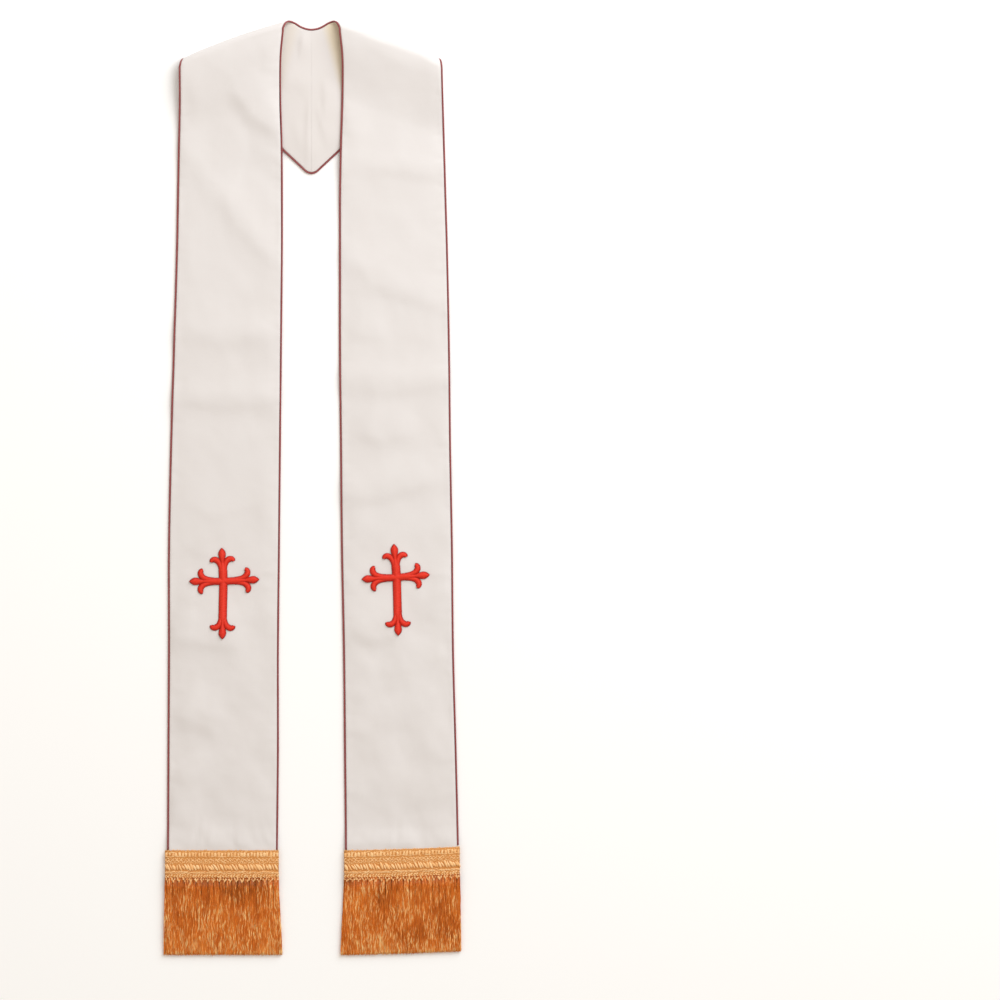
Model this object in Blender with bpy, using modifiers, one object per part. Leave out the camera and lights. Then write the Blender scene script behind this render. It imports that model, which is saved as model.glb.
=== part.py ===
# Clerical stole, laid out flat: two long fronts folded over at the shoulders onto a V-backed yoke.
# Metres. +Z is up, +Y points from the fringe to the neck, and the centre-back seam is on X = 0.
# The yoke lies on the surface with its outer cloth down.
# The fronts come over it with their outer cloth up.
import math
import random

import bmesh
import bpy
from mathutils import Matrix, Vector

MM = 0.001

# Driving sizes
LENGTH = 1260 * MM  # shoulder peak to fringe tips
PLY = 1.0 * MM  # the outer cloth with its interfacing, and the lining
PLY_GAP = 0.3 * MM  # between outer cloth and lining
SEAM_GAP = 0.5 * MM  # between pieces that are sewn edge to edge
LAY_GAP = 0.3 * MM  # between a piece and the one it lies on
PIPING_D = 2.6 * MM
FOLD_R = 6.6 * MM  # middle of the cloth, round the unpressed shoulder fold
LOOP_RUN = 90 * MM  # how far from the fold the front comes down to rest
SETTLE_RUN = 28 * MM  # how far past the yoke's edge the front reaches the surface
LEVEL_RUN = 240 * MM  # how far from the fold the rows of points turn from along it to straight across

# Yoke, as (distance from the centre seam, distance below the shoulder peak)
NECK_FRONT_DOWN = 9.6 * MM  # where the neck edge starts round the fold
SHOULDER_RUN = 141.5 * MM  # how far across the fold runs, from the neck edge to the outer corner
SHOULDER_DROP = 52.0 * MM  # how much lower the fold is at the outer corner
SHOULDER_BULGE = 3.2 * MM  # how far the fold line bows outwards
NECK_BACK = (20.0 * MM, 2.1 * MM)
NECK_DIP = 9.3 * MM
YOKE_CORNER = (166.8 * MM, 54.0 * MM)
YOKE_POINT_DOWN = 210.6 * MM  # where the two straight edges would meet
YOKE_POINT_R = 13.6 * MM

# Hem and trimming
HEM_RISE_DOWN = 1085 * MM  # the fronts start to rise over the back braid here
HEM_RISE_RUN = 26 * MM
BRAID_DOWN = 1118 * MM
BRAID_BACK_T = 1.4 * MM
HEADING_T = 1.3 * MM
HEADING_TOP = 28.4 * MM  # below the braid's upper edge
HEADING_FOOT = 36.0 * MM
TRIM_SPAN = {"left": (43.9 * MM, 197.8 * MM), "right": (43.9 * MM, 200.5 * MM)}
HEM_TILT = {"left": 0.0, "right": 4.5 * MM}  # how much higher the trimming hangs at its outer end
LOCKS = 48  # locks of fringe on each heading
LOCK_GAP = 0.22  # share of each lock's pitch that is open
LOCK_HALF_WIDTHS = (0.46, 0.36)  # as shares of the root's width, part of the way down and at the tip
LOCK_LEAN = 0.12  # as a share of its width, how far a lock may hang to one side
LOCK_UNEVEN = 1.5 * MM  # how much longer or shorter a lock may be
LOCK_LEVELS = (62.0 * MM, 141.6 * MM)  # below the braid's upper edge, part of the way down and at tips
FRONT_LOCKS = ((2.2 * MM, 1.2 * MM), (1.9 * MM, 1.1 * MM))  # underside and thickness at each level
BACK_LOCKS = ((0.3 * MM, 1.2 * MM), (0.3 * MM, 1.1 * MM))

# Crosses, as (X of the crossing, distance below the shoulder peak, turn in degrees)
CROSSES = {"left": (-118.9 * MM, 754.9 * MM, 1.0), "right": (115.4 * MM, 749.4 * MM, 3.2)}

# Outline of each front over its piping: distance below the shoulder peak, then from the
# centre seam to the inner edge and to the outer edge, all in mm.
FRONT_OUTLINE = {
    "left": (
        (12, 36.9, 178.4),
        (50, 40.3, 178.8),
        (108, 40.6, 178.9),
        (166, 38.9, 180.2),
        (240, 38.5, 181.6),
        (308, 38.5, 182.9),
        (443, 39.8, 187.0),
        (578, 41.2, 191.0),
        (713, 42.5, 193.7),
        (848, 43.9, 193.7),
        (983, 43.9, 194.4),
        (1118, 45.2, 195.0),
        (1160, 45.2, 195.0),
    ),
    "right": (
        (12, 36.9, 177.0),
        (50, 40.6, 177.0),
        (108, 40.3, 178.5),
        (166, 38.5, 180.2),
        (240, 37.1, 182.3),
        (308, 37.1, 184.3),
        (443, 37.1, 187.0),
        (578, 38.5, 188.6),
        (713, 39.8, 191.0),
        (848, 42.5, 192.4),
        (983, 43.9, 196.0),
        (1118, 45.2, 199.1),
        (1160, 45.2, 199.1),
    ),
}

# Broad soft folds across each front: distance below the shoulder peak at the middle of the front,
# slope across X in degrees (down to the right is positive), height and half width in mm.
FRONT_FOLDS = {
    "left": ((245, 50, 1.5, 20), (421, 0, 1.6, 22), (507, -2, 1.8, 20)),
    "right": ((193, 4, 1.2, 18), (355, 27, 1.9, 20), (482, 0, 1.8, 20), (624, -7, 1.6, 22)),
}

SIDES = {"left": -1, "right": 1}
HALF_T = PLY + PLY_GAP / 2
FRONT_COLUMNS = 6
# The cloth's rows: distance run below the fold on the front, down to the hem, then turns round the fold,
# then shares of the yoke from the fold to the centre-back seam.
FRONT_ROWS_MM = (0, 9, 20, 32, 45, 59, 74, 90, 106, 122, 140, 160, 180, 200, 220, 240, 262, 284, 306)
FRONT_ROWS_MM += (328, 346, 364, 386, 402, 418, 436, 456, 472, 490, 508, 530, 570, 598, 614, 630, 660)
FRONT_ROWS_MM += (740, 850, 895, 935, 975, 1030, 1073, 1086, 1099, 1143)
FOLD_TURNS = 7
YOKE_ROWS = (0.0, 0.14, 0.3, 0.46, 0.62, 0.77, 0.88, 0.9414, 0.9608, 0.98, 0.9935, 1.0)

COLOURS = {
    "ivory_cloth": ((0.80, 0.76, 0.70), 0.75),
    "lining_cloth": ((0.80, 0.76, 0.70), 0.8),
    "red_piping": ((0.33, 0.025, 0.03), 0.55),
    "red_thread": ((0.75, 0.035, 0.015), 0.45),
    "gold_braid": ((0.80, 0.45, 0.13), 0.45),
    "gold_fringe": ((0.62, 0.24, 0.04), 0.4),
}


# Small helpers
def smooth(x):
    x = min(max(x, 0.0), 1.0)
    return x * x * (3 - 2 * x)


def lerp(a, b, share):
    return a + (b - a) * share


def outline(side, down, column):
    """Distance from the centre seam to an edge of the front: column 1 is the inner edge, 2 the outer."""
    rows = FRONT_OUTLINE[side]
    level = min(max(down / MM, rows[0][0]), rows[-1][0])
    k = max(i for i in range(len(rows) - 1) if rows[i][0] <= level)

    def slope(i):
        before, after = rows[max(i - 1, 0)], rows[min(i + 1, len(rows) - 1)]
        return (after[column] - before[column]) / (after[0] - before[0])

    step = rows[k + 1][0] - rows[k][0]
    s = (level - rows[k][0]) / step
    ends = (2 * s**3 - 3 * s**2 + 1) * rows[k][column] + (3 * s**2 - 2 * s**3) * rows[k + 1][column]
    turns = (s**3 - 2 * s**2 + s) * slope(k) + (s**3 - s**2) * slope(k + 1)
    return (ends + step * turns) * MM


def make_object(name, mesh, material, collection):
    obj = bpy.data.objects.new(name, mesh)
    collection.objects.link(obj)
    obj.data.materials.append(MATERIALS[material])
    return obj


def mesh_from(bm, name):
    mesh = bpy.data.meshes.new(name)
    bm.to_mesh(mesh)
    bm.free()
    return mesh


# The shape of one half, as a middle surface between outer cloth and lining.
# share runs from 0 at the inner (neck) outline to 1 at the outer outline.
FOLD_ALONG = Vector((SHOULDER_RUN, SHOULDER_DROP)).normalized()  # (outwards, down), along the fold
FOLD_OUT = Vector((FOLD_ALONG.y, -FOLD_ALONG.x))  # square to it, away from the garment
YOKE_SLOPE = (YOKE_POINT_DOWN - YOKE_CORNER[1]) / YOKE_CORNER[0]


def bulge(share):
    return SHOULDER_BULGE * 4 * share * (1 - share)


def front_plan(side, run, share):
    """(distance from the centre, distance below the peak), run below the fold's own line."""
    slant_left = 1 - smooth(run / LEVEL_RUN)
    down = NECK_FRONT_DOWN + run + (SHOULDER_DROP * share - bulge(share)) * slant_left
    return Vector((lerp(outline(side, down, 1), outline(side, down, 2), share), down))


def folds(side, x, down):
    """Height of the soft folds that cross a front."""
    middle = SIDES[side] * 115 * MM
    height = 0.0
    for level, slope, rise, half_width in FRONT_FOLDS[side]:
        turn = math.radians(slope)
        off = (down - level * MM) * math.cos(turn) - (x - middle) * math.sin(turn)
        height += rise * MM * math.exp(-((off / (half_width * MM)) ** 2))
    return height


def front_height(side, plan):
    """Height of the middle surface of a front over the surface that the stole lies on."""
    neck = Vector((outline(side, NECK_FRONT_DOWN, 1), NECK_FRONT_DOWN))
    from_fold = max(-(plan - neck).dot(FOLD_OUT), 0.0)
    past_yoke = (plan.y - YOKE_POINT_DOWN + YOKE_SLOPE * plan.x) / math.hypot(1, YOKE_SLOPE)
    on_yoke = (PIPING_D + SEAM_GAP) * (1 - smooth(past_yoke / SETTLE_RUN))
    height = HALF_T + lerp(2 * FOLD_R, on_yoke, smooth(from_fold / LOOP_RUN))
    height += folds(side, SIDES[side] * plan.x, plan.y)
    return height + (BRAID_BACK_T + LAY_GAP) * smooth((plan.y - HEM_RISE_DOWN) / HEM_RISE_RUN)


def neck_edge(off_centre):
    return NECK_DIP - (NECK_DIP - NECK_BACK[1]) * (off_centre / NECK_BACK[0]) ** 2


def point_edge(off_centre):
    """The yoke's lower edge, straight with a round point."""
    lean = math.atan(YOKE_SLOPE)
    if off_centre > YOKE_POINT_R * math.sin(lean):
        return YOKE_POINT_DOWN - YOKE_SLOPE * off_centre
    centre = YOKE_POINT_DOWN - YOKE_POINT_R / math.cos(lean)
    return centre + math.sqrt(YOKE_POINT_R**2 - off_centre**2)


def yoke_plan(part, share):
    """On the yoke, part runs from 0 at the shoulder fold to 1 at the centre-back seam."""
    upper = lerp(NECK_BACK[0], SEAM_GAP / 2, part)
    lower = lerp(YOKE_CORNER[0], SEAM_GAP / 2, part)
    plan = Vector((upper, neck_edge(upper))).lerp(Vector((lower, point_edge(lower))), share)
    return plan - Vector((0, bulge(share) * (1 - part) ** 2))


def middle(side, row, share):
    """A point of the middle surface. row is (zone, value)."""
    zone, value = row
    if zone == "front":
        plan = front_plan(side, value, share)
        height = front_height(side, plan)
    elif zone == "fold":
        plan = front_plan(side, 0, share).lerp(yoke_plan(0, share), value)
        plan += FOLD_OUT * FOLD_R * math.sin(math.pi * value)
        height = HALF_T + FOLD_R + FOLD_R * math.cos(math.pi * value)
    else:
        plan = yoke_plan(value, share)
        height = HALF_T
    return Vector((SIDES[side] * plan.x, LENGTH / 2 - plan.y, height))


ROWS = [("front", down * MM) for down in reversed(FRONT_ROWS_MM)]
ROWS += [("fold", (k + 1) / (FOLD_TURNS + 1)) for k in range(FOLD_TURNS)]
ROWS += [("yoke", part) for part in YOKE_ROWS]


def share_of_inset(side, k, edge, inset):
    """How much of a row's width lies within inset of its outline at edge 0 or 1."""
    across = middle(side, ROWS[k], 1) - middle(side, ROWS[k], 0)
    after = middle(side, ROWS[min(k + 1, len(ROWS) - 1)], edge)
    before = middle(side, ROWS[max(k - 1, 0)], edge)
    square_on = across.normalized().cross((after - before).normalized()).length
    return inset / (across.length * square_on)


# Cloth
def cloth_points(side, layer):
    """Rows of points on a layer's face against the other layer. layer is 1 outside, -1 inside."""
    inset = PIPING_D + SEAM_GAP
    grid = []
    for k, row in enumerate(ROWS):
        first = share_of_inset(side, k, 0, inset)
        last = 1 - share_of_inset(side, k, 1, inset)
        across = [lerp(first, last, j / FRONT_COLUMNS) for j in range(FRONT_COLUMNS + 1)]
        grid.append([middle(side, row, share) for share in across])
    moved = []
    for k, line in enumerate(grid):
        before, after = grid[max(k - 1, 0)], grid[min(k + 1, len(grid) - 1)]
        moved.append([])
        for j, point in enumerate(line):
            across = line[min(j + 1, FRONT_COLUMNS)] - line[max(j - 1, 0)]
            outwards = across.cross(after[j] - before[j]).normalized() * SIDES[side]
            moved[-1].append(point + outwards * layer * PLY_GAP / 2)
    return moved


def cloth(side, name, layer, material, collection):
    points = cloth_points(side, layer)
    rows = len(points) - 1
    bm = bmesh.new()
    bmesh.ops.create_grid(bm, x_segments=FRONT_COLUMNS, y_segments=rows, size=1)
    for v in bm.verts:
        j = round((v.co.x + 1) / 2 * FRONT_COLUMNS)
        k = round((v.co.y + 1) / 2 * rows)
        v.co = points[k][j]
    if side == "left":
        bmesh.ops.reverse_faces(bm, faces=bm.faces)
    obj = make_object(f"{name}_{side}", mesh_from(bm, name), material, collection)
    obj.data.shade_smooth()
    wall = obj.modifiers.new("wall", "SOLIDIFY")
    wall.thickness = PLY
    wall.offset = layer
    wall.use_even_offset = True
    return obj


# Piping along both long edges of each half
def piping(side, name, edge, collection):
    centres = []
    for k, row in enumerate(ROWS):
        if row[0] == "front" and middle(side, row, edge).y < LENGTH / 2 - BRAID_DOWN:
            continue
        inset = share_of_inset(side, k, edge, PIPING_D / 2)
        point = middle(side, row, inset if edge == 0 else 1 - inset)
        centres.append(point + Vector((0, 0, PIPING_D / 2 - HALF_T)))
    foot = centres[0]
    braid_top = LENGTH / 2 - BRAID_DOWN + HEM_TILT[side] * edge
    centres[0] = Vector((foot.x, braid_top + SEAM_GAP, foot.z))
    curve = bpy.data.curves.new(name, "CURVE")
    curve.dimensions = "3D"
    curve.bevel_depth = PIPING_D / 2
    curve.bevel_resolution = 1
    curve.use_fill_caps = True
    spline = curve.splines.new("POLY")
    spline.points.add(len(centres) - 1)
    for point, centre in zip(spline.points, centres):
        point.co = (*centre, 1)
    return make_object(f"{name}_{side}", curve, "red_piping", collection)


# Braid and fringe, on the face of each hem and again on its back
def hem_top():
    return BRAID_BACK_T + LAY_GAP + 2 * PLY + PLY_GAP + LAY_GAP


def tilt(bm, side):
    near, far = TRIM_SPAN[side]
    for v in bm.verts:
        v.co.y += HEM_TILT[side] * (abs(v.co.x) - near) / (far - near)


# Across the braid: distance from its upper edge and height, in mm
BRAID_PROFILE = (
    (0, 0.7),
    (1.5, 1.5),
    (6.0, 1.6),
    (7.8, 0.9),
    (9.5, 1.8),
    (13.5, 2.0),
    (17.5, 1.8),
    (19.2, 1.0),
    (20.8, 1.7),
    (26.2, 1.7),
    (28.0, 0.7),
)
BRAID_COLUMNS = 24
PLAIT = 0.3 * MM  # how high the slant of each plait is raised
PLAITED_FROM = 1.2  # only the bands that stand higher than this, in mm, are plaited


def braid_front(side, collection):
    """Three bands side by side, each with the slant of its plait raised in it."""
    near, far = TRIM_SPAN[side]
    last = len(BRAID_PROFILE) - 1
    bm = bmesh.new()
    bmesh.ops.create_grid(bm, x_segments=BRAID_COLUMNS, y_segments=last, size=1)
    for v in bm.verts:
        column = round((v.co.x + 1) / 2 * BRAID_COLUMNS)
        line = round((1 - v.co.y) / 2 * last)
        off_edge, height = BRAID_PROFILE[line]
        raised = PLAIT if height > PLAITED_FROM and (column + line) % 2 else 0.0
        v.co.x = SIDES[side] * lerp(near, far, column / BRAID_COLUMNS)
        v.co.y = LENGTH / 2 - BRAID_DOWN - off_edge * MM
        v.co.z = hem_top() + height * MM + raised
    made = bmesh.ops.extrude_face_region(bm, geom=bm.faces[:] + bm.edges[:] + bm.verts[:])
    base = [g for g in made["geom"] if isinstance(g, bmesh.types.BMVert)]
    for v in base:
        v.co.z = hem_top()
    flat = {e for v in base for e in v.link_edges if e.other_vert(v) in base}
    bmesh.ops.dissolve_limit(bm, angle_limit=0.01, verts=base, edges=list(flat))
    bmesh.ops.recalc_face_normals(bm, faces=bm.faces)
    tilt(bm, side)
    return make_object(f"braid_front_{side}", mesh_from(bm, "braid_front"), "gold_braid", collection)


def braid_back(side, collection):
    """A plain band: its face lies on the surface under the stole."""
    near, far = TRIM_SPAN[side]
    depth = BRAID_PROFILE[-1][0] * MM
    bm = bmesh.new()
    bmesh.ops.create_cube(bm, size=1)
    bmesh.ops.scale(bm, vec=(far - near, depth, BRAID_BACK_T), verts=bm.verts)
    centre = (SIDES[side] * (near + far) / 2, LENGTH / 2 - BRAID_DOWN - depth / 2, BRAID_BACK_T / 2)
    bmesh.ops.translate(bm, vec=centre, verts=bm.verts)
    tilt(bm, side)
    return make_object(f"braid_back_{side}", mesh_from(bm, "braid_back"), "gold_braid", collection)


def fringe(side, face, levels, collection):
    """A narrow heading with locks hanging from it. levels has the height of the underside and the
    thickness at the heading's foot and at each of LOCK_LEVELS."""
    near, far = TRIM_SPAN[side]
    pitch = (far - near) / (LOCKS + LOCK_GAP)
    gap = LOCK_GAP * pitch
    stops = [near]
    for k in range(LOCKS):
        stops += [near + k * pitch + gap, near + (k + 1) * pitch]
    stops.append(far)
    bm = bmesh.new()
    bmesh.ops.create_grid(bm, x_segments=len(stops) - 1, y_segments=1, size=1)
    for v in bm.verts:
        stop = round((v.co.x + 1) / 2 * (len(stops) - 1))
        off_edge = HEADING_TOP if v.co.y > 0 else HEADING_FOOT
        v.co = (SIDES[side] * stops[stop], LENGTH / 2 - BRAID_DOWN - off_edge, levels[0][0])
    made = bmesh.ops.extrude_face_region(bm, geom=bm.faces[:] + bm.edges[:] + bm.verts[:])
    upper = [g for g in made["geom"] if isinstance(g, bmesh.types.BMVert)]
    bmesh.ops.translate(bm, vec=(0, 0, HEADING_T), verts=upper)
    bmesh.ops.recalc_face_normals(bm, faces=bm.faces)
    foot = [f for f in bm.faces if f.normal.y < -0.9]
    foot.sort(key=lambda f: abs(f.calc_center_median().x))
    draw = random.Random(f"{side} {face}")
    for face_at_root in foot[1::2]:
        hang_lock(bm, face_at_root, pitch - gap, levels, draw)
    bmesh.ops.dissolve_limit(bm, angle_limit=0.002, verts=bm.verts, edges=bm.edges)
    bmesh.ops.recalc_face_normals(bm, faces=bm.faces)
    tilt(bm, side)
    return make_object(f"fringe_{face}_{side}", mesh_from(bm, "fringe"), "gold_fringe", collection)


def hang_lock(bm, root, width, levels, draw):
    """Extrudes one lock from its face on the heading's foot."""
    middle_x = root.calc_center_median().x
    lean = draw.uniform(-LOCK_LEAN, LOCK_LEAN) * width
    longer = draw.uniform(-LOCK_UNEVEN, LOCK_UNEVEN)
    for step, ((under, thick), level) in enumerate(zip(levels[1:], LOCK_LEVELS)):
        grown = bmesh.ops.extrude_discrete_faces(bm, faces=[root])
        root = grown["faces"][0]
        half = width * LOCK_HALF_WIDTHS[step]
        y = LENGTH / 2 - BRAID_DOWN - level - longer * step
        top = max(v.co.z for v in root.verts) - 1e-6
        for v in root.verts:
            v.co.z = under + (thick if v.co.z > top else 0)
            v.co.x = middle_x + lean * (step + 1) / 2 + math.copysign(half, v.co.x - middle_x)
            v.co.y = y


# Embroidered crosses
CROSS_STITCHED = 0.7 * MM  # how high the stitching stands at its edge
CROSS_PADDED = 0.7 * MM  # and how much higher over the padding
CROSS_SLOPE = 1.0 * MM
# Turn of each arm in degrees, how far its tip is from the crossing, and half its stem's width, in mm
CROSS_ARMS = ((0, 46.0, 5.8), (90, 47.0, 5.2), (180, 78.6, 5.8), (270, 47.0, 5.2))
# Half the end of an arm, a leaf between two curls: back from the tip and out from the arm's middle, in mm
ARM_END = (
    (0.0, 0.0),
    (3.0, 3.0),
    (7.0, 4.9),
    (10.5, 5.1),
    (13.5, 4.4),
    (12.0, 8.4),
    (11.7, 12.0),
    (13.6, 15.6),
    (17.6, 17.0),
    (19.6, 15.8),
    (19.2, 12.2),
    (20.6, 9.2),
    (24.0, 6.8),
)
STEM_STARTS = 28.5 * MM  # back from the tip


def cross_outline():
    """The outline anticlockwise from the tip of the upper arm, which points along +Y."""
    corners = []
    for k, (turn, tip, half) in enumerate(CROSS_ARMS):
        beside = CROSS_ARMS[(k + 1) % len(CROSS_ARMS)][2]
        end = [Vector((-out, tip - back)) * MM for back, out in ARM_END]
        stem = Vector((-half * MM, tip * MM - STEM_STARTS))
        armpit = Vector((-half, beside)) * MM
        far_side = [Vector((-p.x, p.y)) for p in reversed(end[1:] + [stem])]
        spun = Matrix.Rotation(math.radians(turn), 2)
        corners += [spun @ p for p in far_side + end + [stem, armpit]]
    return corners


def cross(side, collection):
    bm = bmesh.new()
    flat = bm.faces.new([bm.verts.new((*p, 0)) for p in cross_outline()])
    top = bmesh.ops.extrude_face_region(bm, geom=[flat])["geom"]
    raised = [g for g in top if isinstance(g, bmesh.types.BMVert)]
    bmesh.ops.translate(bm, vec=(0, 0, CROSS_STITCHED), verts=raised)
    face = [g for g in top if isinstance(g, bmesh.types.BMFace)]
    bmesh.ops.inset_region(bm, faces=face, thickness=CROSS_SLOPE, use_even_offset=True)
    bmesh.ops.translate(bm, vec=(0, 0, CROSS_PADDED), verts=face[0].verts[:])
    bmesh.ops.recalc_face_normals(bm, faces=bm.faces)
    obj = make_object(f"cross_{side}", mesh_from(bm, "cross"), "red_thread", collection)
    x, down, turn = CROSSES[side]
    cloth_top = 2 * HALF_T + folds(side, x, down)
    obj.location = (x, LENGTH / 2 - down, cloth_top + LAY_GAP)
    obj.rotation_euler.z = math.radians(turn)


def make_materials():
    made = {}
    for name, (colour, roughness) in COLOURS.items():
        material = bpy.data.materials.new(name)
        material.use_nodes = True
        shader = material.node_tree.nodes["Principled BSDF"]
        shader.inputs["Base Color"].default_value = (*colour, 1)
        shader.inputs["Roughness"].default_value = roughness
        material.diffuse_color = (*colour, 1)
        made[name] = material
    return made


for old in list(bpy.data.objects):
    bpy.data.objects.remove(old)
MATERIALS = make_materials()
stole = bpy.data.collections.new("clerical_stole")
bpy.context.scene.collection.children.link(stole)

for side in SIDES:
    cloth(side, "outer_cloth", 1, "ivory_cloth", stole)
    cloth(side, "lining", -1, "lining_cloth", stole)
    piping(side, "piping_neck", 0, stole)
    piping(side, "piping_outer", 1, stole)
    braid_front(side, stole)
    braid_back(side, stole)
    fringe(side, "front", ((hem_top(), HEADING_T), *FRONT_LOCKS), stole)
    fringe(side, "back", ((0.0, HEADING_T), *BACK_LOCKS), stole)
    cross(side, stole)
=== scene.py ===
import random
from math import atan, copysign, cos, exp, hypot, pi, radians, sin, sqrt

import bmesh
import bpy
import numpy as np
from mathutils import Matrix, Vector, noise


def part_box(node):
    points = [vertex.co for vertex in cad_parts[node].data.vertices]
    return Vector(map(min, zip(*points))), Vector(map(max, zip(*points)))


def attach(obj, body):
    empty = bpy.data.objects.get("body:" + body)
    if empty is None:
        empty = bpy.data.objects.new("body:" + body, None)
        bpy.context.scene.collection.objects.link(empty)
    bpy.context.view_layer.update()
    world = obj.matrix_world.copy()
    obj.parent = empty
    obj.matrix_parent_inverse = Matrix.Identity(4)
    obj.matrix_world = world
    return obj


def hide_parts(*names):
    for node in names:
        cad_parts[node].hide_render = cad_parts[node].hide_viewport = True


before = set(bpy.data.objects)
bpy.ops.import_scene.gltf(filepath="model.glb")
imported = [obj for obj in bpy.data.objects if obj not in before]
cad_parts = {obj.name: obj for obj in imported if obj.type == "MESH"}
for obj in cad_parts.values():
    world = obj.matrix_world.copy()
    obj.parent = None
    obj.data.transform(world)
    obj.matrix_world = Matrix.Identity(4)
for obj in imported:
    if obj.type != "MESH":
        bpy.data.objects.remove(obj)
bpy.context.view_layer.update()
scene = bpy.context.scene
mm = 0.001
sides = {"left": -1, "right": 1}
print("frame loaded:", len(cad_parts), "nodes")

# in metres, as in the solids, but with thinner layers and with fronts that settle more slowly past the yoke
cut = {
    "length": 1260 * mm,  # shoulder peak to fringe tips
    "halfThick": 1.15 * mm,  # from between the two layers out to either face
    "layerThick": 0.8 * mm,
    "seamGap": 0.5 * mm,
    "centreSeam": 0.05 * mm,
    "layGap": 0.3 * mm,
    "pipingWide": 2.6 * mm,
    "foldRadius": 6.6 * mm,
    "loopRun": 90 * mm,  # the front comes down from the fold over this run
    # and onto the surface past the yoke over these, near the middle and out at the corner
    "settleRun": {"left": (45 * mm, 120 * mm), "right": (90 * mm, 90 * mm)},
    "settleTurn": (80 * mm, 35 * mm),  # where the one run starts to turn into the other, and over how far
    "frontMiddle": 115 * mm,
    "levelRun": 240 * mm,  # rows turn from along the fold to straight across
    "neckFrontDown": 9.6 * mm,
    "shoulderRun": 141.5 * mm,
    "shoulderDrop": 52.0 * mm,
    "shoulderBulge": 3.2 * mm,
    "neckBack": (20.0 * mm, 2.1 * mm),
    "neckDip": 9.3 * mm,
    "yokeCorner": (166.8 * mm, 54.0 * mm),
    "yokePointDown": 210.6 * mm,
    "yokePointRadius": 13.6 * mm,
    "yokeSpacing": 1.6,  # rows lie closer together towards the centre seam
    "hemRiseDown": 1085 * mm,
    "hemRiseRun": 26 * mm,
    "hemDown": 1150 * mm,
    "braidDown": 1118 * mm,
    "backBraidThick": 1.4 * mm,
    "trimSpan": {"left": (43.9 * mm, 197.8 * mm), "right": (43.9 * mm, 200.5 * mm)},
    "hemTilt": {"left": 0.0, "right": 4.8 * mm},  # how much higher the trimming hangs at its outer end
    "hemCurve": 1.5,
}

peak = cut["length"] / 2  # the shoulder peak's Y, from which every piece is measured down
braidTop = peak - cut["braidDown"]

# each front over its piping: below the peak, centre line to inner edge, to outer edge, in mm
frontOutline = {
    "left": (
        (12, 36.9, 178.4), (50, 40.3, 178.8), (108, 40.6, 178.9), (166, 38.9, 180.2),
        (240, 38.5, 181.6), (308, 38.5, 182.9), (443, 39.8, 187.0), (578, 41.2, 191.0),
        (713, 42.5, 193.7), (848, 43.9, 193.7), (983, 43.9, 194.4), (1118, 45.2, 195.0),
        (1160, 45.2, 195.0),
    ),
    "right": (
        (12, 36.9, 177.0), (50, 40.6, 177.0), (108, 40.3, 178.5), (166, 38.5, 180.2),
        (240, 37.1, 182.3), (308, 37.1, 184.3), (443, 37.1, 187.0), (578, 38.5, 188.6),
        (713, 39.8, 191.0), (848, 42.5, 192.4), (983, 43.9, 196.0), (1118, 45.2, 199.1),
        (1160, 45.2, 199.1),
    ),
}

# broad soft folds over each front: below the peak at mid front, slope in degrees, rise, half width, in mm
broadFolds = {
    "left": ((245, 50, 1.5, 20), (421, 0, 1.6, 22), (507, -2, 1.8, 20)),
    "right": ((193, 4, 1.2, 18), (355, 27, 0.9, 20), (482, 0, 1.8, 20), (624, -7, 1.6, 22)),
}

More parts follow.
